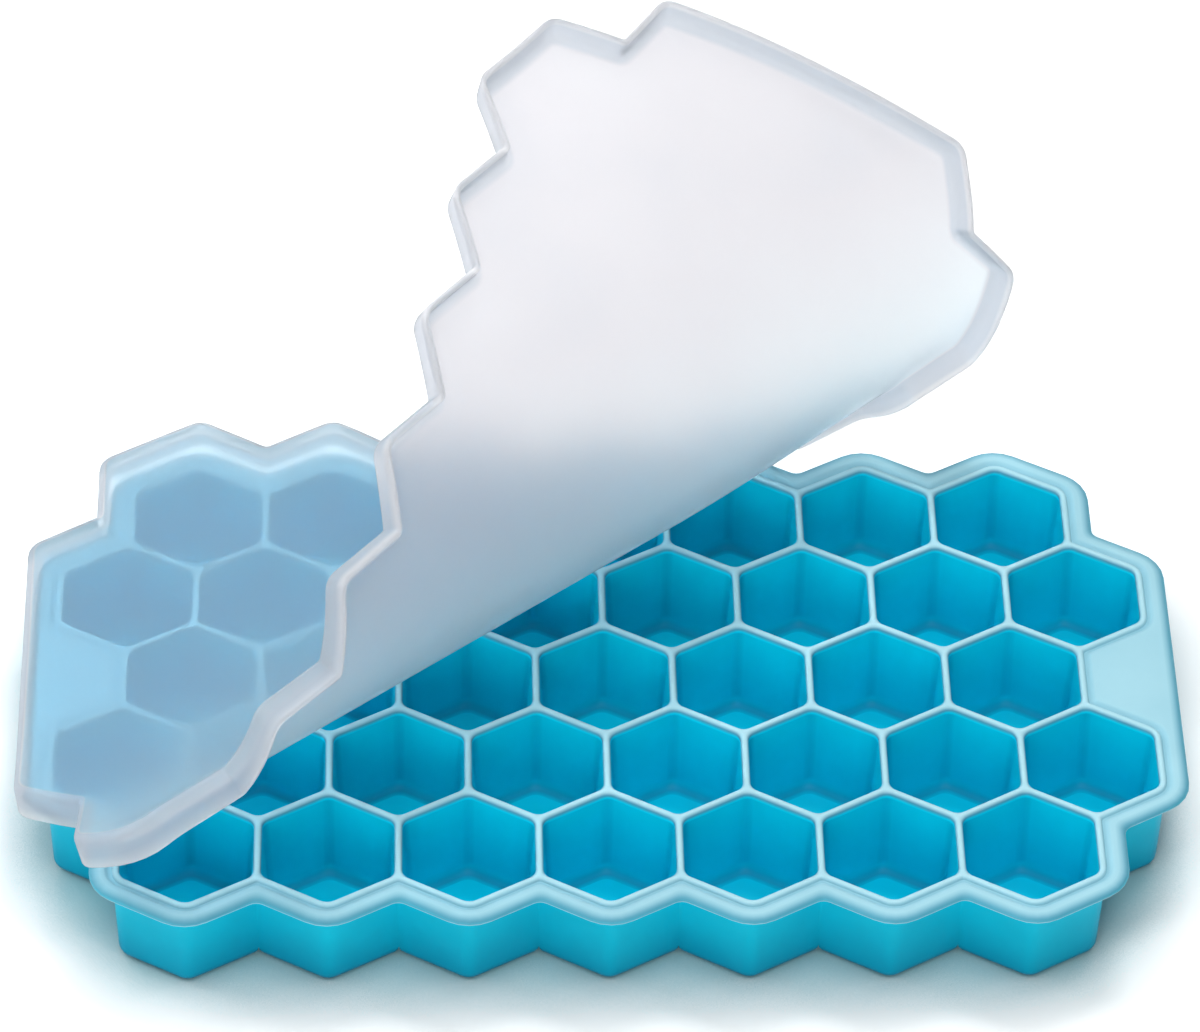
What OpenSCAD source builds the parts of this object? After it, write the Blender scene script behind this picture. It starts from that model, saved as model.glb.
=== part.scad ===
// Silicone ice cube tray: a honeycomb of hexagonal cells in one moulding, and a soft lid that is
// seated at the left end and peeled up and over from the front right corner.
// Millimetres. The tray stands on z = 0 with the middle cell over the origin, long side along X.

/* [Cells] */
// Distance between the middles of neighbouring cells
pitch = 24; // [20:0.5:28]
// Cells in each of the two long rows; the three short rows have one fewer
long_row = 8; // [7:1:9]
// Thickness of the wall that two cells share, at its top
wall = 1.3; // [1:0.1:2]
// Distance that each side of a cell leans in from top to floor
cell_draft = 0.9; // [0.2:0.1:1.5]
// Radius of the upright corners inside a cell
cell_corner = 2.2; // [1:0.1:3]
// Radius where the sides of a cell meet its floor
floor_fillet = 2.4; // [1:0.1:4]
// Thickness of the floor of a cell
floor_t = 2; // [1.2:0.1:4]
// Rounding along the two top edges of each wall
ridge_round = 0.35; // [0.1:0.05:0.4]

/* [Tray] */
// Height of the tray, from its feet to the top of the walls
tray_h = 19.5; // [15:0.5:30]
// Distance that the outside of the cups leans in from top to bottom
cup_draft = 1; // [0.2:0.1:1.5]
// Radius of the upright corners on the outside of the cups
cup_corner = 2.6; // [1:0.1:3.5]
// Rounding round the bottom of each cup
foot_round = 1.8; // [0.5:0.1:3]

/* [Rim] */
// Distance from the middle of the outer walls to the edge of the rim
rim_reach = 4; // [3:0.1:7]
// Thickness of the rim, which has a fully round edge
rim_t = 2; // [1.2:0.1:3]
// Distance that the rim lies below the top of the walls
rim_drop = 0.8; // [0.3:0.1:2]
// Radius of the outward corners of the rim
rim_corner = 2.8; // [1.5:0.1:4]
// Radius of the inward corners of the rim
rim_notch = 1; // [0.5:0.1:2]
// Width of the groove in the rim, along the foot of the outer walls
groove_width = 0.9; // [0.5:0.1:1.2]
// Depth of the groove, which slopes down to the walls
groove_depth = 0.5; // [0.2:0.1:0.8]

/* [Lid] */
// Thickness of the lid
lid_t = 1.8; // [1:0.1:3]
// Height that the lid rests above the tops of the walls
lid_rest = 0.2; // [0.1:0.05:1]
// Clearance between the edge of the rim and the inside of the skirt
side_gap = 1; // [0.9:0.1:2]
// Thickness of the skirt round the lid
skirt_t = 1; // [0.8:0.1:2]
// Overall height of the skirt, with the lid's own thickness
skirt_h = 6.2; // [4:0.1:9]
// Radius of the shoulder where the lid turns down into its skirt
shoulder = 1.5; // [0.5:0.1:2.5]
// Radius inside, where the underside of the lid meets the skirt
inner_fillet = 0.8; // [0.3:0.1:2]
// Radius of the inward corners of the lid, on the outside of its skirt
lid_notch = 0.6; // [0.3:0.1:1.5]

/* [Peel] */
// Direction of the fold across the lid, turned from the long side
fold_turn = 39.5; // [30:0.5:50]
// Distance of the first lifted line from the middle, towards the front right corner
lift_start = -60; // [-64:1:-40]
// Length of lid that lifts gently off the tray
lift_len = 46; // [30:1:60]
// Angle that the lid turns through while it lifts
lift_turn = 29; // [10:1:35]
// Length of lid in the tight part of the curl
curl_len = 50; // [40:1:70]
// Angle that the lid turns through in the tight part of the curl
curl_turn = 100; // [80:1:110]
// Length of lid over which the flap is gently bowed
flap_len = 66; // [40:1:90]
// Angle of the gentle bow in the flap
flap_turn = 42; // [10:1:50]
// How far the flap's back corner has drawn in, to the left
sag_left = 7.5; // [0:0.5:12]
// How far the flap's back corner has drifted back
sag_back = 5; // [0:0.5:10]
// How far the flap's back corner has sunk under its own weight
sag_down = 3; // [0:0.5:6]

/* [Hidden] */

// The honeycomb: circumradius of a cell, and the ends of the rows
cell_circ = pitch / sqrt(3);
short_row = long_row - 1;
end_short = short_row * pitch / 2;
end_long = long_row * pitch / 2;
row_gap = 1.5 * cell_circ;
y_peak = 4 * cell_circ;
y_valley = 3.5 * cell_circ;
y_notch = 2.5 * cell_circ;
y_end = 2 * cell_circ;

// Heights
rim_top = tray_h - rim_drop;
lid_top = tray_h + lid_rest + lid_t;

// Offsets from the middle of the outer walls, and corner radii that nest inside each other
skirt_in = rim_reach + side_gap;
skirt_out = skirt_in + skirt_t;
lid_corner = rim_corner + skirt_t;

// The peel: the arcs that a strip of the lid bends through, and the ways along and across its fold
peel_arcs = [[lift_len, lift_turn], [curl_len, curl_turn], [flap_len, flap_turn]];
fold_way = [cos(fold_turn), sin(fold_turn), 0];
peel_way = [sin(fold_turn), -cos(fold_turn), 0];

// The sag of the back corner sets in between these distances along the fold, and across it
sag_along = [20, 100];
sag_across = [-30, 20];
corner_sag = [-sag_left, sag_back, -sag_down];

// How finely curves are drawn
corner_steps = 2;
cell_corner_steps = 1;
foot_fn = 6;
lid_step = 8;
least_r = 0.3;
over = 0.5;

// The lid's face is drawn in ring by ring, in these shares, to a line along its middle
sheet_rings = [0.8, 0.6, 0.42, 0.25, 0.1];
middle_half = 0.7 * end_short;

// Zigzag along one long side, from its left end to its right one when seen from outside
function zigzag(side) = [
    for (k = [0 : 2 * short_row])
        [side * (end_short - k * pitch / 2), side * (k % 2 == 0 ? y_valley : y_peak)]
];

// Outline of the rim and lid through the middles of the outer walls, anticlockwise from the left end
rim_line = concat(
    [[-end_long, -y_end], [-end_short, -y_notch]],
    zigzag(-1),
    [[end_short, -y_notch], [end_long, -y_end], [end_long, y_end], [end_short, y_notch]],
    zigzag(1),
    [[-end_short, y_notch], [-end_long, y_end]]
);

// Outline of the cups, which also steps in beside the middle row
cup_line = concat(
    [[-end_short, -cell_circ / 2], [-end_long, -cell_circ], [-end_long, -y_end], [-end_short, -y_notch]],
    zigzag(-1),
    [[end_short, -y_notch], [end_long, -y_end], [end_long, -cell_circ], [end_short, -cell_circ / 2]],
    [[end_short, cell_circ / 2], [end_long, cell_circ], [end_long, y_end], [end_short, y_notch]],
    zigzag(1),
    [[-end_short, y_notch], [-end_long, y_end], [-end_long, cell_circ], [-end_short, cell_circ / 2]]
);

function unit(v) = v / norm(v);

// One corner of a closed line, moved out by off and rounded: r_out where it points out, r_in where in
function corner(line, i, off, r_out, r_in, steps) =
    let (
        n = len(line),
        before = unit(line[i] - line[(i + n - 1) % n]),
        after = unit(line[(i + 1) % n] - line[i]),
        out_a = [before.y, -before.x],
        out_b = [after.y, -after.x],
        turn = atan2(cross(before, after), before * after),
        r = turn > 0 ? r_out : -r_in,
        centre = line[i] + (out_a + out_b) / (1 + out_a * out_b) * (off - r),
        from = atan2(out_a.y, out_a.x)
    )
    [for (k = [0 : steps]) centre + r * [cos(from + turn * k / steps), sin(from + turn * k / steps)]];

// Number of points added between the corners at i and i + 1
function between(line, i, step) = max(1, round(norm(line[(i + 1) % len(line)] - line[i]) / step)) - 1;

// The whole line moved out by off, with its corners rounded and its sides cut into lengths of about step
function ring(line, off, r_out, r_in, step = 1000, steps = corner_steps) = [
    for (i = [0 : len(line) - 1])
        let (
            here = corner(line, i, off, r_out, r_in, steps),
            next = corner(line, (i + 1) % len(line), off, r_out, r_in, steps),
            added = between(line, i, step),
            a = here[steps],
            b = next[0]
        )
        each concat(here, [for (k = [1 : 1 : added]) a + (b - a) * k / (added + 1)])
];

function at_height(points, z) = [for (p = points) [p.x, p.y, z]];
function joined(lists) = [for (l = lists) each l];

// Triangles of the band between two neighbouring rings of n points, the outer ring being k + 1
function band(k, n) = [
    for (i = [0 : n - 1])
        let (j = (i + 1) % n)
        each [
            [k * n + i, k * n + j, (k + 1) * n + j],
            [k * n + i, (k + 1) * n + j, (k + 1) * n + i]
        ]
];

// Solid through a stack of rings, each a list of [x, y, z], from the top one down
module loft(rings) {
    n = len(rings[0]);
    last = len(rings) - 1;
    top = [0, 0, rings[0][0].z];
    bottom = [0, 0, rings[last][0].z];
    polyhedron(
        points = concat(joined(rings), [top, bottom]),
        faces = concat(
            [for (i = [0 : n - 1]) [i, (last + 1) * n, (i + 1) % n]],
            [for (k = [0 : last - 1]) each band(k, n)],
            [for (i = [0 : n - 1]) [last * n + (i + 1) % n, (last + 1) * n + 1, last * n + i]]
        ),
        convexity = 10
    );
}

// Places a child on the middle of every cell
module each_cell() {
    for (row = [-2 : 2], i = [0 : (row % 2 == 0 ? short_row : long_row) - 1])
        translate([(i - ((row % 2 == 0 ? short_row : long_row) - 1) / 2) * pitch, row * row_gap, 0])
            children();
}

// Outline of one cell through the middles of its walls
cell_line = [for (a = [30 : 60 : 330]) cell_circ * [cos(a), sin(a)]];

// Rounded outline of a cell, drawn in from the middles of its walls, at one height
function cell_ring(inset, z) =
    at_height(ring(cell_line, -inset, cell_corner, 0, steps = cell_corner_steps), z);

// The hollow of one cell: leaning sides, a rounded mouth and a rounded floor
module cell_hollow() {
    mouth = wall / 2;
    foot = mouth + cell_draft;
    loft(concat(
        [
            cell_ring(mouth - ridge_round - over, tray_h + over),
            cell_ring(mouth, tray_h - ridge_round)
        ],
        [
            for (a = [90, 45, 0])
                cell_ring(foot + floor_fillet * (1 - sin(a)), floor_t + floor_fillet * (1 - cos(a)))
        ]
    ));
}

// The round-edged bottom of one cup, which leaves a groove between neighbouring cups
module cup_foot() {
    side = pitch / 2 + wall / 2 - cup_draft;
    low_r = max(least_r, cup_corner - foot_round);
    hull()
        for (a = [30 : 60 : 330])
            rotate(a)
                translate([(side - cup_corner) * 2 / sqrt(3), 0, 0])
                    rotate(180 / foot_fn)
                        cylinder(r1 = low_r, r2 = cup_corner, h = foot_round, $fn = foot_fn);
}

// The block of cups, from above the feet to the tops of the walls
module cup_block() {
    loft([
        at_height(ring(cup_line, wall / 2, cup_corner, least_r), tray_h),
        at_height(ring(cup_line, wall / 2 - cup_draft, cup_corner, least_r), foot_round)
    ]);
}

// The rim: a plate with a fully round edge, drawn as the corners of faces that touch the half circle
module rim_plate() {
    edge = rim_t / 2;
    profile = [[tan(15), 1], [1, tan(30)], [1, -tan(30)], [tan(15), -1]];
    loft([
        for (p = profile)
            let (inset = edge * (1 - p.x))
            at_height(
                ring(rim_line, rim_reach - inset, rim_corner - inset, rim_notch),
                rim_top - edge + edge * p.y
            )
    ]);
}

// What the groove takes off the top of the rim: its slope goes on into the outer walls
module rim_groove() {
    mouth = wall / 2 + groove_width;
    foot = wall / 2 - cup_draft;
    slope = groove_depth / groove_width;
    loft([
        at_height(ring(cup_line, mouth, cup_corner + groove_width, rim_notch), rim_top + over),
        at_height(ring(cup_line, mouth, cup_corner + groove_width, rim_notch), rim_top),
        at_height(ring(cup_line, foot, cup_corner, least_r), rim_top - slope * (mouth - foot))
    ]);
}

module tray() {
    color("deepskyblue")
        difference() {
            union() {
                cup_block();
                difference() {
                    rim_plate();
                    rim_groove();
                }
                each_cell() cup_foot();
            }
            each_cell() cell_hollow();
        }
}

// Position along a strip that bends through arcs, each [length, turn], as [forward, up, angle]
function along(s, arcs, i = 0, at = [0, 0, 0]) =
    s <= 0 || i == len(arcs)
        ? [at.x + s * cos(at.z), at.y + s * sin(at.z), at.z]
        : let (
              done = min(s, arcs[i][0]),
              r = arcs[i][0] / (arcs[i][1] * PI / 180),
              to = at.z + arcs[i][1] * done / arcs[i][0],
              next = [at.x + r * (sin(to) - sin(at.z)), at.y + r * (cos(at.z) - cos(to)), to]
          )
          s <= arcs[i][0] ? next : along(s - arcs[i][0], arcs, i + 1, next);

// 0 before the range, 1 past it, and a smooth rise between
function eased(x, range) =
    let (t = min(1, max(0, (x - range[0]) / (range[1] - range[0]))))
    t * t * (3 - 2 * t);

// Where a point of the flat lid goes when the lid is peeled, p.z being its height above the lid's top
function peeled(p) =
    let (
        across = p.x * peel_way.x + p.y * peel_way.y,
        side = p.x * fold_way.x + p.y * fold_way.y,
        bent = along(across - lift_start, peel_arcs),
        sag = eased(side, sag_along) * eased(across, sag_across)
    )
    side * fold_way
        + (lift_start + bent.x - p.z * sin(bent.z)) * peel_way
        + [0, 0, lid_top + bent.y + p.z * cos(bent.z)]
        + sag * corner_sag;

// One ring of the lid, lying flat: off outside the wall middles and h above the lid's top
function lid_ring(off, h) =
    let (inset = skirt_out - off)
    at_height(ring(rim_line, off, max(least_r, lid_corner - inset), lid_notch + inset, lid_step), h);

// The same ring drawn in towards a line along the middle of the lid, to cover its face
function drawn_in(points, f) = [
    for (p = points)
        let (c = min(middle_half, max(-middle_half, p.x)))
        [c + (p.x - c) * f, p.y * f, p.z]
];

// Faces that close the small ring left in the middle; it is the same on both sides of the long axis
function middle_faces(n, ends) =
    let (
        top = n - ends - 1,
        right = (n - 2 * ends) / 2 - 1,
        left_fan = concat([for (i = [top : n - 1]) i], [0]),
        right_fan = [for (i = [right : top - right]) i]
    )
    concat(
        [for (i = [1 : right - 2]) each [[i, top - i, top - i - 1], [i, top - i - 1, i + 1]]],
        [[1, top, top - 1]],
        [for (k = [0 : len(left_fan) - 2]) [1, left_fan[k + 1], left_fan[k]]],
        [[right - 1, top - right + 1, top - right]],
        [for (k = [0 : len(right_fan) - 2]) [right - 1, right_fan[k + 1], right_fan[k]]]
    );

function turned(faces, from) = [for (f = faces) [f[0] + from, f[2] + from, f[1] + from]];

module lid() {
    face_edge = lid_ring(skirt_out - shoulder, 0);
    under_edge = lid_ring(skirt_in - inner_fillet, -lid_t);
    small_last = len(sheet_rings) - 1;
    rings = concat(
        [for (k = [0 : small_last]) drawn_in(face_edge, sheet_rings[small_last - k])],
        [
            face_edge,
            lid_ring(skirt_out - shoulder * (1 - cos(45)), -shoulder * (1 - sin(45))),
            lid_ring(skirt_out, -shoulder),
            lid_ring(skirt_out, -skirt_h),
            lid_ring(skirt_in, -skirt_h),
            lid_ring(skirt_in, -lid_t - inner_fillet),
            under_edge
        ],
        [for (k = [0 : small_last]) drawn_in(under_edge, sheet_rings[k])]
    );
    n = len(face_edge);
    ends = between(rim_line, len(rim_line) - 1, lid_step);
    middle = middle_faces(n, ends);
    color("ghostwhite", 0.8)
        polyhedron(
            points = [for (r = rings, p = r) peeled(p)],
            faces = concat(
                middle,
                [for (k = [0 : len(rings) - 2]) each band(k, n)],
                turned(middle, (len(rings) - 1) * n)
            ),
            convexity = 10
        );
}

tray();
lid();
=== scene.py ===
"""Looks of a silicone ice cube tray with a soft lid peeled back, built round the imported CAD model."""

import math

import bmesh
import bpy
from bpy.props import FloatProperty, FloatVectorProperty, IntProperty, PointerProperty, StringProperty
from mathutils import Matrix, Vector
from mathutils.geometry import delaunay_2d_cdt


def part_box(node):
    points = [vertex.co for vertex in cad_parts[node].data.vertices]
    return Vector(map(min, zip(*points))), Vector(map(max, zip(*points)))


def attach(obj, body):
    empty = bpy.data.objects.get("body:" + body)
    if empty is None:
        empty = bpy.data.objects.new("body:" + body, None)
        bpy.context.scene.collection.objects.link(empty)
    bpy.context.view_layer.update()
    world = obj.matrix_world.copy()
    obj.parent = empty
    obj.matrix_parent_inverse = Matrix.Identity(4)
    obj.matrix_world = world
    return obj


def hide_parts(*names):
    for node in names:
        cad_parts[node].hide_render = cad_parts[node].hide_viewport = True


bl_info = {
    "name": "Silicone ice cube tray",
    "version": (1, 0, 0),
    "blender": (4, 5, 0),
    "location": "3D View > Sidebar > Ice tray",
    "description": "Honeycomb silicone tray and its translucent lid, with their moulded finishes",
    "category": "Add Mesh",
}

MM = 0.001

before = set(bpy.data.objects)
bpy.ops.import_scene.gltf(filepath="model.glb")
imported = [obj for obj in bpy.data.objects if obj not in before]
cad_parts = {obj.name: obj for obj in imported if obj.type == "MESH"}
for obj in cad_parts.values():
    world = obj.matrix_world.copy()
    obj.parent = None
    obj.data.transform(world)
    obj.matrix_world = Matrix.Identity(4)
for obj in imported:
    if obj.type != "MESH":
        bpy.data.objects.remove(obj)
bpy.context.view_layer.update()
TRAY_LOW, TRAY_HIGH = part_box("tray")

# Size and layout of the imported tray: its rim reaches this far past the middles of the outer walls
FRAME_REACH = 4.0 * MM
LONG_ROW = 8
PITCH = (TRAY_HIGH.x - TRAY_LOW.x - 2 * FRAME_REACH) / LONG_ROW


def length(name, description, default, **more):
    """A size in metres, as a property that a user can change"""
    return FloatProperty(name=name, description=description, default=default, unit="LENGTH", precision=5, **more)


def angle(name, description, degrees):
    """An angle property, given in degrees"""
    return FloatProperty(name=name, description=description, default=math.radians(degrees), subtype="ANGLE")


def colour(name, description, default):
    """A colour property, held as an sRGB hex value"""
    return StringProperty(name=name, description=description, default=default, maxlen=7)


class TraySizes(bpy.types.PropertyGroup):
    """Sizes of the tray's moulding"""

    pitch: length("Pitch", "Distance between the middles of neighbouring cells", PITCH)
    long_row: IntProperty(name="Long row", description="Cells in each of the two long rows", default=LONG_ROW, min=3)
    wall: length("Wall", "Thickness of the wall that two cells share, at its top", 1.3 * MM)
    draft: length("Cell draft", "How far each side of a cell leans in on its way down", 0.9 * MM)
    corner: length("Cell corner", "Radius of the upright corners inside a cell", 2.3 * MM)
    fillet: length("Floor fillet", "Radius where the sides of a cell meet its floor", 2.0 * MM)
    floor: length("Floor", "Thickness of the floor of a cell", 2.0 * MM)
    height: length("Height", "From the feet to the tops of the walls", TRAY_HIGH.z)
    foot_round: length("Foot rounding", "Rounding round the bottom of each cup", 2.2 * MM)
    rim_reach: length("Rim reach", "From the middle of the outer walls to the edge of the rim", 4.5 * MM)
    rim_drop: length("Rim drop", "How far the rim lies below the tops of the walls", 0.05 * MM)
    rim_depth: length("Rim depth", "Thickness of the rim", 1.05 * MM)
    rim_round: length("Rim rounding", "Width of the rounding that the rim's top ends in", 1.8 * MM)
    groove: length("Groove", "Depth of the groove between the rim and the outer walls", 0.6 * MM)


class LidSizes(bpy.types.PropertyGroup):
    """Sizes of the lid's moulding"""

    sheet: length("Sheet", "Thickness of the lid", 1.8 * MM)
    rest: length("Rest", "Height that the lid lies above the tops of the walls", 0.2 * MM)
    side_gap: length("Side gap", "Clearance between the rim's edge and the skirt", 0.5 * MM)
    skirt: length("Skirt", "Thickness of the skirt", 1.0 * MM)
    skirt_height: length("Skirt height", "Overall height of the skirt", 6.2 * MM)
    shoulder: length("Shoulder", "Radius where the lid turns down into its skirt", 1.5 * MM)
    inner_fillet: length("Inner fillet", "Radius where the underside meets the skirt", 2.0 * MM)
    corner: length("Corner", "Radius of the outward corners, outside", 3.8 * MM)
    notch: length("Notch", "Radius of the inward corners, outside", 0.6 * MM)


class PeelSizes(bpy.types.PropertyGroup):
    """How the lid is peeled back"""

    fold_turn: angle("Fold", "Direction of the fold, turned from the long side", 39.5)
    start: length("Start", "First lifted line, measured from the middle towards the front right", -60 * MM)
    lift_length: length("Lift length", "Length of lid that lifts gently", 46 * MM)
    lift_turn: angle("Lift turn", "Angle that it turns through while it lifts", 29)
    curl_length: length("Curl length", "Length of lid in the tight curl", 50 * MM)
    curl_turn: angle("Curl turn", "Angle of the tight curl", 100)
    flap_length: length("Flap length", "Length of lid that is gently bowed", 66 * MM)
    flap_turn: angle("Flap turn", "Angle of the gentle bow", 42)
    sag: FloatVectorProperty(name="Sag", description="Where the flap's back corner has moved", unit="LENGTH",
                             size=3, default=(-7.5 * MM, 5 * MM, -3 * MM))
    back_lift: length("Back lift", "How far the seated part's back edge is drawn up", 4.1 * MM)


class Finishes(bpy.types.PropertyGroup):
    """Colours, as sRGB hex values"""

    # Painted shade: the darkest tone, where the share falls towards 0 low on the cups and at the bottoms of the feet
    tray_shade: colour("Tray, thick", "Deepest colour, at the feet and in the corners of the floors", "#0085AC")
    tray: colour("Tray", "Colour of the tray's silicone low on the outside of the cups", "#00A4C5")
    # Painted light: the brighter cyan of the cell walls and floors, standing in for light coming through the silicone
    # into the cells
    tray_lit: colour("Tray, clear", "Clearer colour of the cells, where the silicone lets light through", "#00E6FF")
    # Painted shade: the greyer tone where the rim's rounding turns down and on the flanks of the ridges
    tray_slope_shade: colour("Tray, slope", "Greyer colour of the flanks of the ridges and the rim", "#5AAAC3")
    # Painted glow and highlight: the palest tone, on the tops of the ridges and along the rim
    tray_glow: colour("Tray, thin", "Paler colour of ridges and edges, thin enough to glow", "#B6E6F3")
    # Partly the lid's own milky, cool tint and partly painted light: its cyan stands in for blue light from the cells
    # under the seated part
    lid: colour("Lid", "Milky, slightly cool colour of the lid's silicone", "#DDF4FF")
    # Painted light: the curl is painted lighter than the seated part and the flap
    lid_curl_light: colour("Lid, curl", "Lighter colour of the lid where it is stretched round its curl", "#EFF5F8")
    # Painted shade: the flap is painted greyer than the seated part
    lid_bent_shade: colour("Lid, bent", "Greyer colour of the flap", "#EAE9ED")
    # Painted shade: the shoulder, the skirt and the fillet under it are painted a cooler grey
    lid_skirt_shade: colour("Lid, skirt", "Cooler grey of the skirt and the shoulder, seen edge on", "#D8DEE6")
    # Painted highlight: the lip of the skirt is painted white
    lid_lip_highlight: colour("Lid, lip", "White of the lip of the skirt, where light gathers", "#F4F4F6")
    floor: colour("Floor", "Colour of the floor and backdrop", "#F6F6F6")
    # Painted shadow: a teal tint laid on the floor close to the tray, as if its blue light came through
    floor_shade: colour("Floor, shaded", "Tint of the floor by the tray, where blue light comes through", "#9CC9CE")


class IceTray(bpy.types.PropertyGroup):
    """Everything about the ice tray that a user can change"""

    tray: PointerProperty(type=TraySizes)
    lid: PointerProperty(type=LidSizes)
    peel: PointerProperty(type=PeelSizes)
    finish: PointerProperty(type=Finishes)


# Outlines

# Half the length over which a straight corner's points are spread
STRAIGHT_SPREAD = 1.2 * MM


def honeycomb(tray):
    """The middles of the cells, row by row, and the distance from a middle to its corners"""
    circ = tray.pitch / math.sqrt(3)
    middles = []
    for row in range(-2, 3):
        count = tray.long_row if row % 2 else tray.long_row - 1
        middles += [Vector(((i - (count - 1) / 2) * tray.pitch, row * 1.5 * circ)) for i in range(count)]
    return middles, circ


def side_zigzag(tray, circ, side):
    """The corners along one long side, anticlockwise"""
    short = tray.long_row - 1
    return [
        Vector((side * (short - k) * tray.pitch / 2, side * (4 if k % 2 else 3.5) * circ))
        for k in range(2 * short + 1)
    ]


def end_line(tray, circ, side, steps_in):
    """The corners along one end; the cups step in beside the middle row and the rim doesn't"""
    far = side * tray.long_row * tray.pitch / 2
    near = side * (tray.long_row - 1) * tray.pitch / 2
    inner = near if steps_in else far
    corners = [(near, 2.5), (far, 2), (far, 1), (inner, 0.5), (inner, -0.5), (far, -1), (far, -2), (near, -2.5)]
    return [Vector((x, -side * y * circ)) for x, y in corners]


def outline(tray, steps_in):
    """Closed anticlockwise line through the middles of the outer walls"""
    circ = tray.pitch / math.sqrt(3)
    return (
        side_zigzag(tray, circ, -1)
        + end_line(tray, circ, 1, steps_in)
        + side_zigzag(tray, circ, 1)
        + end_line(tray, circ, -1, steps_in)
    )


def ring(line, off, r_out, r_in, steps, parts):
    """The line moved out by off, with its corners rounded in so many steps and its sides cut into so many parts.
    r_out rounds the corners that point out and r_in the others. r_out and parts may be one number or one each."""
    arcs = []
    for i, here in enumerate(line):
        before = (here - line[i - 1]).normalized()
        after = (line[(i + 1) % len(line)] - here).normalized()
        out_a, out_b = Vector((before.y, -before.x)), Vector((after.y, -after.x))
        turn = math.atan2(before.x * after.y - before.y * after.x, before.dot(after))
        if abs(turn) < 0.01:
            shares = [2 * k / steps - 1 for k in range(steps + 1)]
            arcs.append([here + off * out_a + share * STRAIGHT_SPREAD * after for share in shares])
            continue
        wanted = r_out if turn > 0 else r_in
        radius = math.copysign(one_of(wanted, i), turn)
        centre = here + (out_a + out_b) / (1 + out_a.dot(out_b)) * (off - radius)
        start = math.atan2(out_a.y, out_a.x)
        turns = [start + turn * k / steps for k in range(steps + 1)]
        arcs.append([centre + radius * Vector((math.cos(a), math.sin(a))) for a in turns])
    points = []
    for i, arc in enumerate(arcs):
        a, b = arc[-1], arcs[(i + 1) % len(line)][0]
        cuts = one_of(parts, i)
        points += arc + [a.lerp(b, k / cuts) for k in range(1, cuts)]
    return points


def one_of(value, i):
    """The value itself, or its item i if it is a list"""
    return value[i] if isinstance(value, list) else value


# Meshes

# Points closer than this are one
MERGE = 0.004 * MM


class Skin:
    """Collects the faces of one moulding; its material reads one share from each vertex, by the layer's name"""

    def __init__(self, layer):
        self.mesh = bmesh.new()
        self.share = self.mesh.verts.layers.float.new(layer)

    def points(self, places, share=0.0):
        """Adds vertices; the share is one number or one each"""
        made = [self.mesh.verts.new(p) for p in places]
        for i, vert in enumerate(made):
            vert[self.share] = one_of(share, i)
        return made

    def band(self, outer, inner):
        """Joins two rings of vertices by a ring of faces"""
        for i in range(len(outer)):
            j = (i + 1) % len(outer)
            self.mesh.faces.new((outer[i], outer[j], inner[j], inner[i]))

    def rings(self, rings):
        """Joins a list of rings of points, each ring with its share, and returns the vertices of each"""
        made = [self.points(places, share) for places, share in rings]
        for outer, inner in zip(made, made[1:]):
            self.band(outer, inner)
        return made

    def fan(self, verts, middle):
        """Closes a ring of vertices by triangles that meet in the middle"""
        centre = self.points([middle], verts[0][self.share])[0]
        for i in range(len(verts)):
            self.mesh.faces.new((verts[i], verts[(i + 1) % len(verts)], centre))

    def finish(self, name, material):
        """Closes the skin into one smooth object"""
        bmesh.ops.remove_doubles(self.mesh, verts=self.mesh.verts[:], dist=MERGE)
        bmesh.ops.dissolve_degenerate(self.mesh, edges=self.mesh.edges[:], dist=MERGE)
        bmesh.ops.recalc_face_normals(self.mesh, faces=self.mesh.faces[:])
        data = bpy.data.meshes.new(name)
        self.mesh.to_mesh(data)
        self.mesh.free()
        data.shade_smooth()
        data.materials.append(material)
        piece = bpy.data.objects.new(name, data)
        bpy.context.scene.collection.objects.link(piece)
        return piece


def at_height(points, z):
    return [Vector((p.x, p.y, z)) for p in points]


# Share of painted light and shade for each part, from 0 at the feet, painted darkest as shade, to 1 at the tops of the
# ridges, painted palest as glow; cell walls and floors sit higher than the cups, painted lighter as if lit through,
# and slopes higher still, painted greyer as shade
CUP_SHARE = 0.12
WALL_SHARE = 0.3
FLOOR_SHARE = 0.38
SLOPE_SHARE = 0.6
# Crown of a wall: distance from its middle line and drop below its top, as shares of half the wall
CROWN = [(0, 0), (0.38, 0.03), (0.68, 0.2), (0.9, 0.5), (1, 0.95)]
# Side of a cell: how far down each ring lies, as a share of the way from the crown to the fillet
SIDE = (0.06, 0.14, 0.5, 1)
# Floor fillet of a cell: degrees turned, and its share, low so that the crease is painted as a dark band of shade
FILLET = ((22.5, 0.26), (45, 0.17), (67.5, 0.14), (90, 0.28))
# Painted shade in the upright corners of a cell, where three walls meet: what each of its points loses on WALL_SHARE
CORNER_SHADE = (0.02, 0.06, 0.08, 0.06, 0.02)
# Rounding of a foot, as shares of its radius: distance in from the middle line, and height
FOOT = [(0, 1), (0.05, 0.68), (0.2, 0.38), (0.45, 0.13), (0.92, 0)]
# Groove between the outer walls and the rim: millimetres out from the wall, share of the groove's depth, its share,
# pale as painted glow and a little lower where the groove is deepest as painted shade, and the radius of its inward
# corners in millimetres
GROOVE = [(0.1, 0.9, 0.86, 1.0), (0.4, 1, 0.84, 1.1), (0.8, 0.55, 0.87, 1.3), (1.1, 0.12, 0.9, 1.5),
          (1.4, 0, 0.92, 1.6)]
# Rounding that the rim's top ends in: degrees turned, and its share, pale on top as painted glow and falling to the
# greyer tone of painted shade where it turns down
RIM_ROUND = ((0, 0.92), (22.5, 0.8), (45, 0.66), (67.5, 0.59), (90, 0.56))
RIM_NOTCH = 2.2 * MM
# The rim's lip, as a share of its depth, and the skirt's, as a share of its thickness
RIM_LIP = 0.35
SKIRT_LIP = 0.45
# A corner is a cell's own within this share of the distance from its middle to its corners
OWN_CORNER = 1.01


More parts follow.
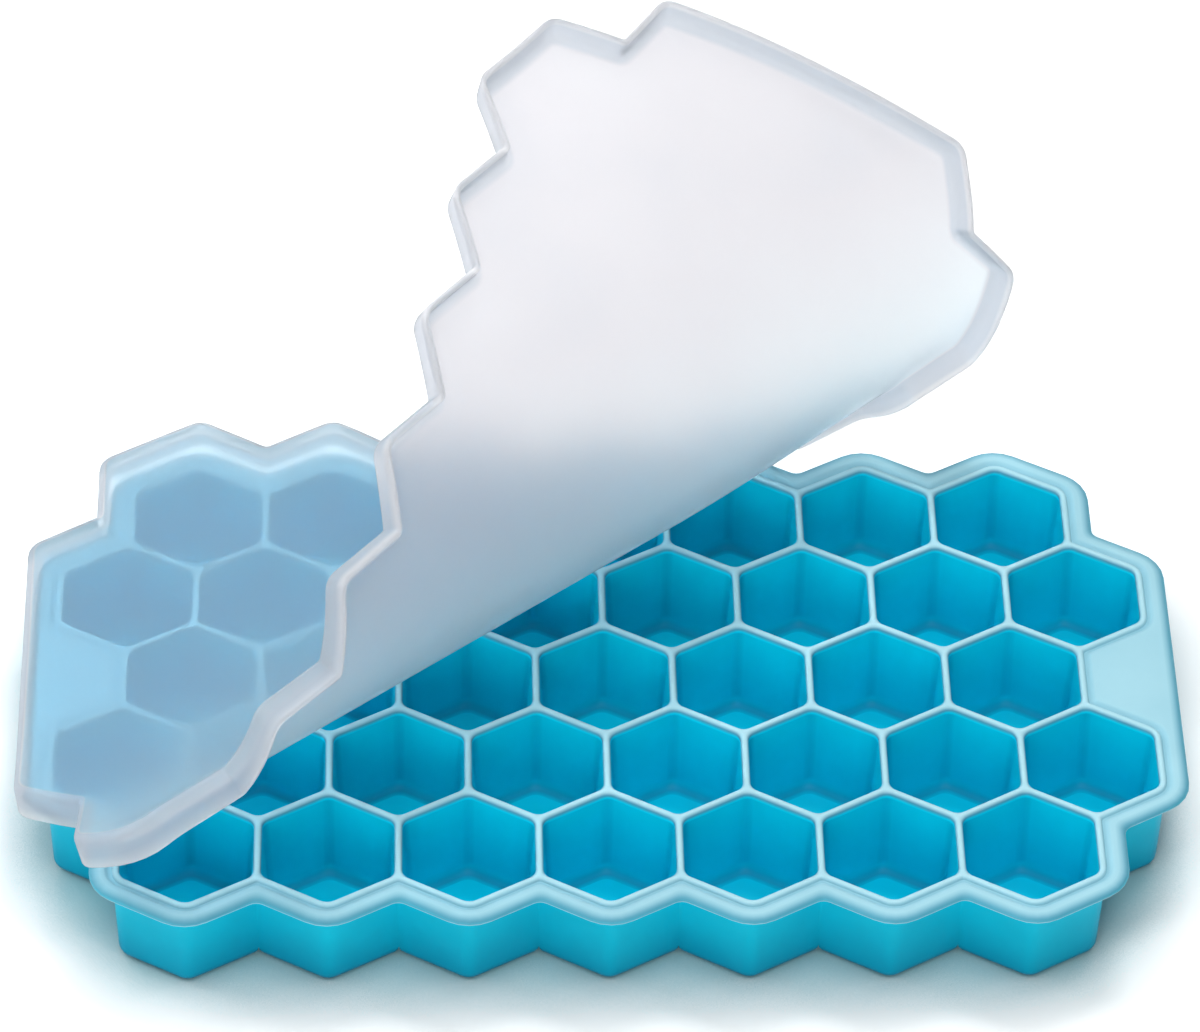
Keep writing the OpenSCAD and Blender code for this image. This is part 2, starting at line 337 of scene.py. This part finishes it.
def mould_tray(tray, material):
    """The tray as one closed skin: cell by cell inside and under the feet, and ring by ring round the outside"""
    skin = Skin("painted_light")
    middles, circ = honeycomb(tray)
    steps, parts = 4, 4
    half = tray.wall / 2
    top = tray.height
    free_corner = tray.corner + half
    hexagon = [circ * Vector((math.cos(a), math.sin(a))) for a in (math.radians(30 + 60 * k) for k in range(6))]

    # Cell sides are painted lighter than the cups, as light coming through, and a little darker at the upright
    # corners, as painted shade
    side_shares = ([WALL_SHARE - loss for loss in CORNER_SHADE] + [WALL_SHARE] * (parts - 1)) * 6

    def shared(point):
        """Does a neighbour have this corner too?"""
        return sum((point - m).length < circ * OWN_CORNER for m in middles) > 1

    for middle in middles:
        line = [middle + corner for corner in hexagon]
        free = [not shared(corner) for corner in line]

        def cell_ring(inset, radius, z):
            radii = [max(free_corner - inset, radius) if is_free else radius for is_free in free]
            return at_height(ring(line, -inset, radii, 0, steps, parts), z)

        # Wall crowns are painted palest on top, as glow, falling to the greyer slope tone on their flanks, as shade
        rings = [(cell_ring(half * a, tray.corner * min(1, 1.3 * a), top - half * b), 1 - 0.45 * b) for a, b in CROWN]
        foot_inset = half + tray.draft
        fillet_top = tray.floor + tray.fillet
        for down in SIDE:
            z = top - half + (fillet_top - top + half) * down
            rings.append((cell_ring(half + tray.draft * down, tray.corner, z), side_shares))
        for turn, share in FILLET:
            a = math.radians(turn)
            inset = foot_inset + tray.fillet * (1 - math.cos(a))
            rings.append((cell_ring(inset, tray.corner, fillet_top - tray.fillet * math.sin(a)), share))
        # The floor is painted lighter than the walls, as painted light
        rings.append((cell_ring(foot_inset + tray.fillet + 0.2 * MM, tray.corner, tray.floor), FLOOR_SHARE))
        rings.append((cell_ring(tray.pitch / 3, tray.corner / 2, tray.floor), FLOOR_SHARE))
        made = skin.rings(rings)
        skin.fan(made[-1], Vector((*middle, tray.floor)))

        # The feet are painted darker towards the bottom, as painted shade
        feet = [(cell_ring(tray.foot_round * a, tray.corner * min(1, 1.5 * a), tray.foot_round * b), CUP_SHARE * b)
                for a, b in FOOT]
        feet.append((cell_ring(tray.pitch / 3, tray.corner / 2, 0), 0))
        made = skin.rings(feet)
        skin.fan(made[-1], Vector((*middle, 0)))

    cups, rim = outline(tray, True), outline(tray, False)

    def outside(line, off, z, painted_light, notch):
        return at_height(ring(line, off, free_corner + off, notch, steps, parts), z), painted_light

    rim_top = top - tray.rim_drop
    rim_low = rim_top - tray.rim_depth
    lip = tray.rim_depth * RIM_LIP
    # The outer walls' crown is painted pale, as glow
    rings = [outside(cups, half * a, top - half * b, 1 - 0.25 * b, 1.4 * half * a) for a, b in CROWN]
    for out, deep, share, notch in GROOVE:
        rings.append(outside(cups, half + out * MM, rim_top - tray.groove * deep, share, notch * MM))
    for turn, share in RIM_ROUND:
        a = math.radians(turn)
        off = tray.rim_reach - tray.rim_round * (1 - math.sin(a))
        z = rim_top - (tray.rim_depth - lip) * (1 - math.cos(a))
        rings.append(outside(rim, off, z, share, RIM_NOTCH))
    # A pale line along the rim's lower edge, a painted highlight; a darker band just under the rim, a painted shadow;
    # then the cups, painted lighter near the top and darker towards the feet, as painted light and shade
    rings += [
        outside(rim, tray.rim_reach + 0.03 * MM, rim_low + lip * 0.6, 0.9, RIM_NOTCH),
        outside(rim, tray.rim_reach - 0.1 * MM, rim_low, 0.95, RIM_NOTCH),
        outside(rim, tray.rim_reach - 0.5 * MM, rim_low, 0.6, 2 * MM),
        outside(cups, half + 0.6 * MM, rim_low, 0.2, 1.4 * MM),
        outside(cups, half + 0.15 * MM, rim_low - 0.15 * MM, 0.25, 1.2 * MM),
        outside(cups, half * 0.97, rim_low - 0.6 * MM, 0.28, 1.2 * MM),
        outside(cups, half * 0.5, (rim_low + tray.foot_round) / 2, 0.21, 0.8 * MM),
        outside(cups, 0, tray.foot_round, CUP_SHARE, 0),
    ]
    skin.rings(rings)
    return skin.finish("tray_moulding", material)


def along(distance, arcs):
    """Position and angle along a strip that bends through arcs, each a length and a turn"""
    x, y, turned = 0.0, 0.0, 0.0
    for arc_length, turn in arcs:
        if distance <= 0:
            break
        done = min(distance, arc_length)
        radius = arc_length / turn
        to = turned + done / radius
        x += radius * (math.sin(to) - math.sin(turned))
        y += radius * (math.cos(turned) - math.cos(to))
        turned = to
        distance -= done
    return x + distance * math.cos(turned), y + distance * math.sin(turned), turned


def eased(x, low, high):
    """0 up to low and 1 from high on, with a smooth rise between them"""
    t = min(1, max(0, (x - low) / (high - low)))
    return t * t * (3 - 2 * t)


# Where the sag grows, along the fold and across it, and where the back lift grows, backwards and across the fold
SAG_ALONG = (20 * MM, 100 * MM)
SAG_ACROSS = (-30 * MM, 20 * MM)
BACK_RISE = (0, 68 * MM)
BACK_END = (-75 * MM, -40 * MM)
# Shares of the lift's length and of the flap's between which the lid's colour turns from the seated part's, through
# the curl's painted light, into the flap's greyer painted shade, and its transmission falls to the flap's
BENT_FROM = 0.4
BENT_TO = 0.25


def peeled(point, peel, lid_top):
    """Where a point of the flat lid goes, its z being its height above the lid's top"""
    fold_way = Vector((math.cos(peel.fold_turn), math.sin(peel.fold_turn), 0))
    peel_way = Vector((fold_way.y, -fold_way.x, 0))
    across, side = point.dot(peel_way), point.dot(fold_way)
    arcs = [(peel.lift_length, peel.lift_turn), (peel.curl_length, peel.curl_turn), (peel.flap_length, peel.flap_turn)]
    forward, up, turned = along(across - peel.start, arcs)
    place = side * fold_way + (peel.start + forward - point.z * math.sin(turned)) * peel_way
    place.z = lid_top + up + point.z * math.cos(turned)
    sag = eased(side, *SAG_ALONG) * eased(across, *SAG_ACROSS)
    back = eased(point.y, *BACK_RISE) * (1 - eased(across, *BACK_END))
    return place + sag * Vector(peel.sag) + back * Vector((0, 0, peel.back_lift))


# Shares of the lid's painted tone, between the 0 of its seated part and the 1 of its lip: BENT_SHARE is the painted
# grey shade of the bent part, SKIRT_SHARE the painted grey shade of the skirt, and the 1 of the lip its painted white
# highlight
BENT_SHARE = 0.7
SKIRT_SHARE = 0.85
# Grid of points inside the lid's sheet, how far it reaches from the middle, and its shortest distance to the
# edge, as a share of its step
SHEET_STEP = 3 * MM
SHEET_REACH = 130 * MM
SHEET_MARGIN = 0.6


def bend_share(point, peel):
    """0 where the lid is seated, rising to BENT_SHARE where it is bent back"""
    across = point.x * math.sin(peel.fold_turn) - point.y * math.cos(peel.fold_turn)
    low = peel.start + BENT_FROM * peel.lift_length
    high = peel.start + peel.lift_length + peel.curl_length + BENT_TO * peel.flap_length
    return BENT_SHARE * eased(across, low, high)


def mould_lid(tray, lid, peel, material):
    """The lid as one closed skin: two triangulated faces, with the skirt ring by ring between them"""
    skin = Skin("bent")
    circ = tray.pitch / math.sqrt(3)
    line = [p for p in outline(tray, False) if abs(abs(p.y) - circ * 0.5) > MM and abs(abs(p.y) - circ) > MM]
    parts = [max(1, round((b - a).length / (2.4 * MM))) for a, b in zip(line, line[1:] + line[:1])]
    skirt_in = tray.rim_reach + lid.side_gap
    skirt_out = skirt_in + lid.skirt
    lid_top = tray.height + lid.rest + lid.sheet

    def lid_ring(off, z):
        inset = skirt_out - off
        return at_height(ring(line, off, max(0.3 * MM, lid.corner - inset), lid.notch + inset, 4, parts), z)

    def bent(places):
        return [peeled(p, peel, lid_top) for p in places]

    def lifted(places):
        return [bend_share(p, peel) for p in places]

    face = lid_ring(skirt_out - lid.shoulder, 0)
    under = lid_ring(skirt_in - lid.inner_fillet, -lid.sheet)
    lip = lid.skirt * SKIRT_LIP
    rings = [(bent(face), lifted(face))]
    # The shoulder, skirt and inner fillet take SKIRT_SHARE, a painted grey shade
    for turn in (22.5, 45, 67.5, 90):
        a = math.radians(turn)
        places = lid_ring(skirt_out - lid.shoulder * (1 - math.sin(a)), -lid.shoulder * (1 - math.cos(a)))
        rings.append((bent(places), SKIRT_SHARE))
    rings.append((bent(lid_ring(skirt_out, -(lid.shoulder + lid.skirt_height) / 2)), SKIRT_SHARE))
    # The lip's share of 1 paints it white, as a highlight
    for turn in (0, 45, 90, 135, 180):
        a = math.radians(turn)
        off = (skirt_in + skirt_out) / 2 + lid.skirt / 2 * math.cos(a)
        rings.append((bent(lid_ring(off, -lid.skirt_height + lip * (1 - math.sin(a)))), 1))
    rings.append((bent(lid_ring(skirt_in, -(lid.sheet + lid.inner_fillet + lid.skirt_height) / 2)), SKIRT_SHARE))
    for turn in (0, 30, 60):
        a = math.radians(turn)
        off = skirt_in - lid.inner_fillet * (1 - math.cos(a))
        rings.append((bent(lid_ring(off, -lid.sheet - lid.inner_fillet * (1 - math.sin(a)))), SKIRT_SHARE))
    rings.append((bent(under), lifted(under)))
    made = skin.rings(rings)

    for edge, verts in ((face, made[0]), (under, made[-1])):
        for corners in sheet_triangles(edge, skin, verts, peel, bent):
            skin.mesh.faces.new(corners)
    return skin.finish("lid_moulding", material)


def sheet_triangles(edge, skin, verts, peel, bent):
    """Fills the flat edge with triangles whose rows run along the fold, so that the bent sheet is smooth"""
    z = edge[0].z
    turn = Matrix.Rotation(peel.fold_turn, 2)
    flat = [p.to_2d() for p in edge]
    reach = int(SHEET_REACH / SHEET_STEP)
    inner = []
    for i in range(-reach, reach + 1):
        for j in range(-reach, reach + 1):
            p = turn @ Vector((i * SHEET_STEP, j * SHEET_STEP))
            if well_inside(p, flat, SHEET_STEP * SHEET_MARGIN):
                inner.append(p)
    n = len(flat)
    _, _, faces, _, _, _ = delaunay_2d_cdt(flat + inner, [(i, (i + 1) % n) for i in range(n)], [], 1, 1e-7)
    places = [Vector((*p, z)) for p in inner]
    all_verts = verts + skin.points(bent(places), [bend_share(q, peel) for q in places])
    return [[all_verts[i] for i in face] for face in faces]


def well_inside(p, loop, margin):
    """Is p inside the loop, and at least margin away from its sides?"""
    inside = False
    for i, a in enumerate(loop):
        b = loop[(i + 1) % len(loop)]
        if (a.y > p.y) != (b.y > p.y) and p.x < (b.x - a.x) * (p.y - a.y) / (b.y - a.y) + a.x:
            inside = not inside
        along_side = b - a
        share = min(1, max(0, (p - a).dot(along_side) / along_side.length_squared))
        if (a + share * along_side - p).length < margin:
            return False
    return inside


# Materials


def linear(hex_colour):
    """An sRGB hex value as linear red, green, blue and alpha"""
    values = [int(hex_colour[i : i + 2], 16) / 255 for i in (1, 3, 5)]
    return [v / 12.92 if v <= 0.04045 else ((v + 0.055) / 1.055) ** 2.4 for v in values] + [1]


def add(tree, kind, links=None, **settings):
    """Adds a node. Settings with a name that is a socket's set the socket, and the others the node itself."""
    node = tree.nodes.new(kind)
    for name, value in settings.items():
        socket = name.replace("_", " ")
        found = next((s for s in node.inputs if s.name.lower() == socket.lower()), None)
        if found is not None and not hasattr(node, name):
            found.default_value = value
        else:
            setattr(node, name, value)
    for name, source in (links or {}).items():
        tree.links.new(source, node.inputs[name])
    return node


def new_material(name):
    """An empty material with nodes, and its node tree"""
    material = bpy.data.materials.new(name)
    material.use_nodes = True
    material.node_tree.nodes.clear()
    return material, material.node_tree


def tray_silicone(finish):
    """Platinum-cured silicone rubber, pigmented and compression moulded in a blasted steel tool.
    To the eye: satin and soft at every edge. Its colour is painted light and shade from each vertex's share: darker at
    the feet, in creases and corners and where slopes turn down, as painted shade; lighter inside the cells, as painted
    light; palest on ridges and edges, as painted glow and highlight."""
    material, tree = new_material("moulded_blue_silicone")
    place = add(tree, "ShaderNodeTexCoord").outputs["Object"]
    # Each vertex's share of painted light and shade
    painted_light = add(tree, "ShaderNodeAttribute", attribute_name="painted_light").outputs["Fac"]
    cloud = add(tree, "ShaderNodeTexNoise", {"Vector": place}, Scale=1 / (14 * MM), Detail=3.0)
    uneven = add(tree, "ShaderNodeMapRange", {"Value": cloud.outputs["Fac"]}, To_Min=-0.05, To_Max=0.05)
    share = add(tree, "ShaderNodeMath", operation="ADD", use_clamp=True)
    tree.links.new(painted_light, share.inputs[0])
    tree.links.new(uneven.outputs[0], share.inputs[1])
    # Painted tones by share: shade at the feet, the cups' colour, painted light in the cells, greyer painted shade on
    # slopes, painted glow on the ridges
    mixed = add(tree, "ShaderNodeValToRGB", {"Fac": share.outputs[0]})
    stops = mixed.color_ramp.elements
    stops.new(CUP_SHARE)
    stops.new(FLOOR_SHARE)
    stops.new(SLOPE_SHARE)
    tones = (finish.tray_shade, finish.tray, finish.tray_lit, finish.tray_slope_shade, finish.tray_glow)
    for stop, hex_colour in zip(stops, tones):
        stop.color = linear(hex_colour)
    grit = add(tree, "ShaderNodeTexNoise", {"Vector": place}, Scale=1 / (0.35 * MM), Detail=2.0)
    bump = add(tree, "ShaderNodeBump", {"Height": grit.outputs["Fac"]}, Strength=0.12, Distance=0.02 * MM)
    surface = add(tree, "ShaderNodeBsdfPrincipled", {"Normal": bump.outputs["Normal"]},
                  Roughness=0.42, IOR=1.41, Specular_IOR_Level=0.2)
    tree.links.new(mixed.outputs["Color"], surface.inputs["Base Color"])
    out = add(tree, "ShaderNodeOutputMaterial")
    tree.links.new(surface.outputs[0], out.inputs["Surface"])
    return material


def lid_silicone(finish):
    """Unpigmented silicone rubber, moulded thin in a blasted tool.
    To the eye: milky and translucent, so that what touches it shows sharp and what is deeper shows soft."""
    material, tree = new_material("moulded_clear_silicone")
    place = add(tree, "ShaderNodeTexCoord").outputs["Object"]
    bent = add(tree, "ShaderNodeAttribute", attribute_name="bent").outputs["Fac"]
    cloud = add(tree, "ShaderNodeTexNoise", {"Vector": place}, Scale=1 / (25 * MM), Detail=2.0)
    milky = add(tree, "ShaderNodeMapRange", {"Value": cloud.outputs["Fac"]}, To_Min=-0.06, To_Max=0.06)
    share = add(tree, "ShaderNodeMath", operation="ADD", use_clamp=True)
    tree.links.new(bent, share.inputs[0])
    tree.links.new(milky.outputs[0], share.inputs[1])
    # Tone from the bent share, as painted light and shade: the seated part tinted cyan for blue light from below, the
    # curl lighter, the flap and skirt greyer as shade, the lip white as a highlight
    tone = add(tree, "ShaderNodeValToRGB", {"Fac": share.outputs[0]})
    stops = tone.color_ramp.elements
    stops.new(BENT_SHARE * 0.6)
    stops.new(BENT_SHARE)
    stops.new(SKIRT_SHARE)
    tones = (finish.lid, finish.lid_curl_light, finish.lid_bent_shade, finish.lid_skirt_shade, finish.lid_lip_highlight)
    for stop, hex_colour in zip(stops, tones):
        stop.color = linear(hex_colour)
    grit = add(tree, "ShaderNodeTexNoise", {"Vector": place}, Scale=1 / (0.4 * MM), Detail=2.0)
    bump = add(tree, "ShaderNodeBump", {"Height": grit.outputs["Fac"]}, Strength=0.1, Distance=0.02 * MM)
    clear = add(tree, "ShaderNodeMapRange", {"Value": share.outputs[0]},
                From_Min=BENT_SHARE * 0.5, To_Min=0.85, To_Max=0.62)
    surface = add(tree, "ShaderNodeBsdfPrincipled",
                  {"Normal": bump.outputs["Normal"], "Transmission Weight": clear.outputs[0]},
                  Roughness=0.45, IOR=1.2)
    tree.links.new(tone.outputs["Color"], surface.inputs["Base Color"])
    out = add(tree, "ShaderNodeOutputMaterial")
    tree.links.new(surface.outputs[0], out.inputs["Surface"])
    return material


def studio_floor(finish):
    """Matt white paper sweep. Seen directly, or through the lid, it reads white and keeps the shadow; close to the
    tray its glow fades and it is painted a teal shadow tint, so the darkening there is partly the real shadow and
    partly painted shade.
    """
    material, tree = new_material("white_paper_sweep")
    rays = add(tree, "ShaderNodeLightPath").outputs
    either = add(tree, "ShaderNodeMath", operation="MAXIMUM")
    tree.links.new(rays["Is Camera Ray"], either.inputs[0])
    tree.links.new(rays["Is Glossy Ray"], either.inputs[1])
    seen = add(tree, "ShaderNodeMath", operation="MAXIMUM")
    tree.links.new(either.outputs[0], seen.inputs[0])
    tree.links.new(rays["Is Transmission Ray"], seen.inputs[1])
    # How open the floor is close to the tray: the backdrop's glow fades there and the painted teal shadow tint is laid
    # on
    near = add(tree, "ShaderNodeAmbientOcclusion", Distance=22 * MM, samples=4, only_local=False).outputs["AO"]
    lift = add(tree, "ShaderNodeMapRange", {"Value": near}, interpolation_type="SMOOTHSTEP",
               From_Min=0.66, From_Max=0.87, To_Min=0, To_Max=0.4)
    shadow_tint_share = add(tree, "ShaderNodeMapRange", {"Value": near}, interpolation_type="SMOOTHSTEP",
                 From_Min=0.4, From_Max=0.82)
    tone = add(tree, "ShaderNodeMix", {"Factor": shadow_tint_share.outputs[0]}, data_type="RGBA")
    tone.inputs[6].default_value = linear(finish.floor_shade)
    tone.inputs[7].default_value = linear(finish.floor)
    strength = add(tree, "ShaderNodeMath", operation="MULTIPLY")
    tree.links.new(seen.outputs[0], strength.inputs[0])
    tree.links.new(lift.outputs[0], strength.inputs[1])
    paper = add(tree, "ShaderNodeBsdfDiffuse", {"Color": tone.outputs[2]}, Roughness=0.9)
    glow = add(tree, "ShaderNodeEmission", {"Strength": strength.outputs[0]}, Color=(1, 1, 1, 1))
    both = add(tree, "ShaderNodeAddShader")
    tree.links.new(paper.outputs[0], both.inputs[0])
    tree.links.new(glow.outputs[0], both.inputs[1])
    out = add(tree, "ShaderNodeOutputMaterial")
    tree.links.new(both.outputs[0], out.inputs["Surface"])
    return material


# Stage


def place_camera():
    """The photograph's viewing angle, solved from the corners of the cells"""
    yaw, pitch, roll = math.radians(2.0), math.radians(42.284), math.radians(1.202)
    focal_px, image_width_px = 6582.6, 1200
    ahead = Vector((math.sin(yaw) * math.cos(pitch), math.cos(yaw) * math.cos(pitch), -math.sin(pitch)))
    right = Vector((math.cos(yaw), -math.sin(yaw), 0))
    up = right.cross(ahead)
    rolled_right = right * math.cos(roll) + up * math.sin(roll)
    rolled_up = up * math.cos(roll) - right * math.sin(roll)
    data = bpy.data.cameras.new("camera")
    data.sensor_width = 36
    data.lens = data.sensor_width * focal_px / image_width_px
    camera = bpy.data.objects.new("camera", data)
    turn = Matrix((rolled_right, rolled_up, -ahead)).transposed().to_4x4()
    camera.matrix_world = Matrix.Translation(Vector((-30.48, -833.71, 816.38)) * MM) @ turn
    bpy.context.scene.collection.objects.link(camera)
    bpy.context.scene.camera = camera


def place_lamp(name, place, target, size, watts):
    """A square soft box with white light that faces its target"""
    data = bpy.data.lights.new(name, "AREA")
    data.size = size
    data.energy = watts
    lamp = bpy.data.objects.new(name, data)
    lamp.location = place
    lamp.rotation_euler = (Vector(target) - Vector(place)).to_track_quat("-Z", "Y").to_euler()
    bpy.context.scene.collection.objects.link(lamp)


def place_floor(material):
    """A flat floor that curves up behind into a backdrop"""
    skin = Skin("plain")
    half, bend, high = 3.0, 0.6, 3.0
    profile = [(-half, 0)] + [
        (half - bend + bend * math.sin(a), bend * (1 - math.cos(a))) for a in (math.radians(10 * k) for k in range(10))
    ] + [(half, high)]
    rows = [skin.points([Vector((x, y, z)) for y, z in profile]) for x in (-half * 1.5, half * 1.5)]
    for k in range(len(profile) - 1):
        skin.mesh.faces.new((rows[0][k], rows[1][k], rows[1][k + 1], rows[0][k + 1]))
    skin.finish("floor", material)


# Operators


class TRAY_OT_mould_tray(bpy.types.Operator):
    """Mould the honeycomb tray in blue silicone"""

    bl_idname = "ice_tray.mould_tray"
    bl_label = "Mould tray"

    def execute(self, context):
        settings = context.scene.ice_tray
        piece = mould_tray(settings.tray, tray_silicone(settings.finish))
        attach(piece, "root")
        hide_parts("tray")
        return {"FINISHED"}


class TRAY_OT_mould_lid(bpy.types.Operator):
    """Mould the translucent lid and peel it back"""

    bl_idname = "ice_tray.mould_lid"
    bl_label = "Mould lid"

    def execute(self, context):
        settings = context.scene.ice_tray
        piece = mould_lid(settings.tray, settings.lid, settings.peel, lid_silicone(settings.finish))
        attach(piece, "root")
        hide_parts("lid")
        return {"FINISHED"}


class TRAY_OT_set_stage(bpy.types.Operator):
    """Set the floor, the lamps and the camera"""

    bl_idname = "ice_tray.set_stage"
    bl_label = "Set stage"

    def execute(self, context):
        settings = context.scene.ice_tray
        place_floor(studio_floor(settings.finish))
        place_camera()
        target = (0, 0, 0.03)
        place_lamp("key", (-0.27, -1.3, 0.45), target, 0.7, 6.1)
        place_lamp("back", (-0.85, 0.35, 0.7), target, 0.5, 6.3)
        place_lamp("top", (0.2, 0.62, 1.35), target, 0.4, 8)
        place_lamp("fill", (0, -0.5, 1.4), target, 0.8, 5.9)
        world = bpy.data.worlds.new("studio")
        world.use_nodes = True
        background = world.node_tree.nodes["Background"].inputs
        background["Color"].default_value = (1, 1, 1, 1)
        background["Strength"].default_value = 0.2
        context.scene.world = world
        context.scene.view_settings.view_transform = "Standard"
        return {"FINISHED"}


class VIEW3D_PT_ice_tray(bpy.types.Panel):
    """Lists what the ice tray is made of"""

    bl_label = "Ice tray"
    bl_space_type = "VIEW_3D"
    bl_region_type = "UI"
    bl_category = "Ice tray"

    def draw(self, context):
        settings = context.scene.ice_tray
        for group in (settings.tray, settings.lid, settings.peel, settings.finish):
            box = self.layout.box()
            for name in group.__annotations__:
                box.prop(group, name)
        for operator in (TRAY_OT_mould_tray, TRAY_OT_mould_lid, TRAY_OT_set_stage):
            self.layout.operator(operator.bl_idname)


CLASSES = (
    TraySizes,
    LidSizes,
    PeelSizes,
    Finishes,
    IceTray,
    TRAY_OT_mould_tray,
    TRAY_OT_mould_lid,
    TRAY_OT_set_stage,
    VIEW3D_PT_ice_tray,
)


def register():
    for cls in CLASSES:
        bpy.utils.register_class(cls)
    bpy.types.Scene.ice_tray = PointerProperty(type=IceTray)


def unregister():
    del bpy.types.Scene.ice_tray
    for cls in reversed(CLASSES):
        bpy.utils.unregister_class(cls)


def main():
    register()
    bpy.ops.ice_tray.mould_tray()
    bpy.ops.ice_tray.mould_lid()
    bpy.ops.ice_tray.set_stage()


if __name__ == "__main__":
    main()
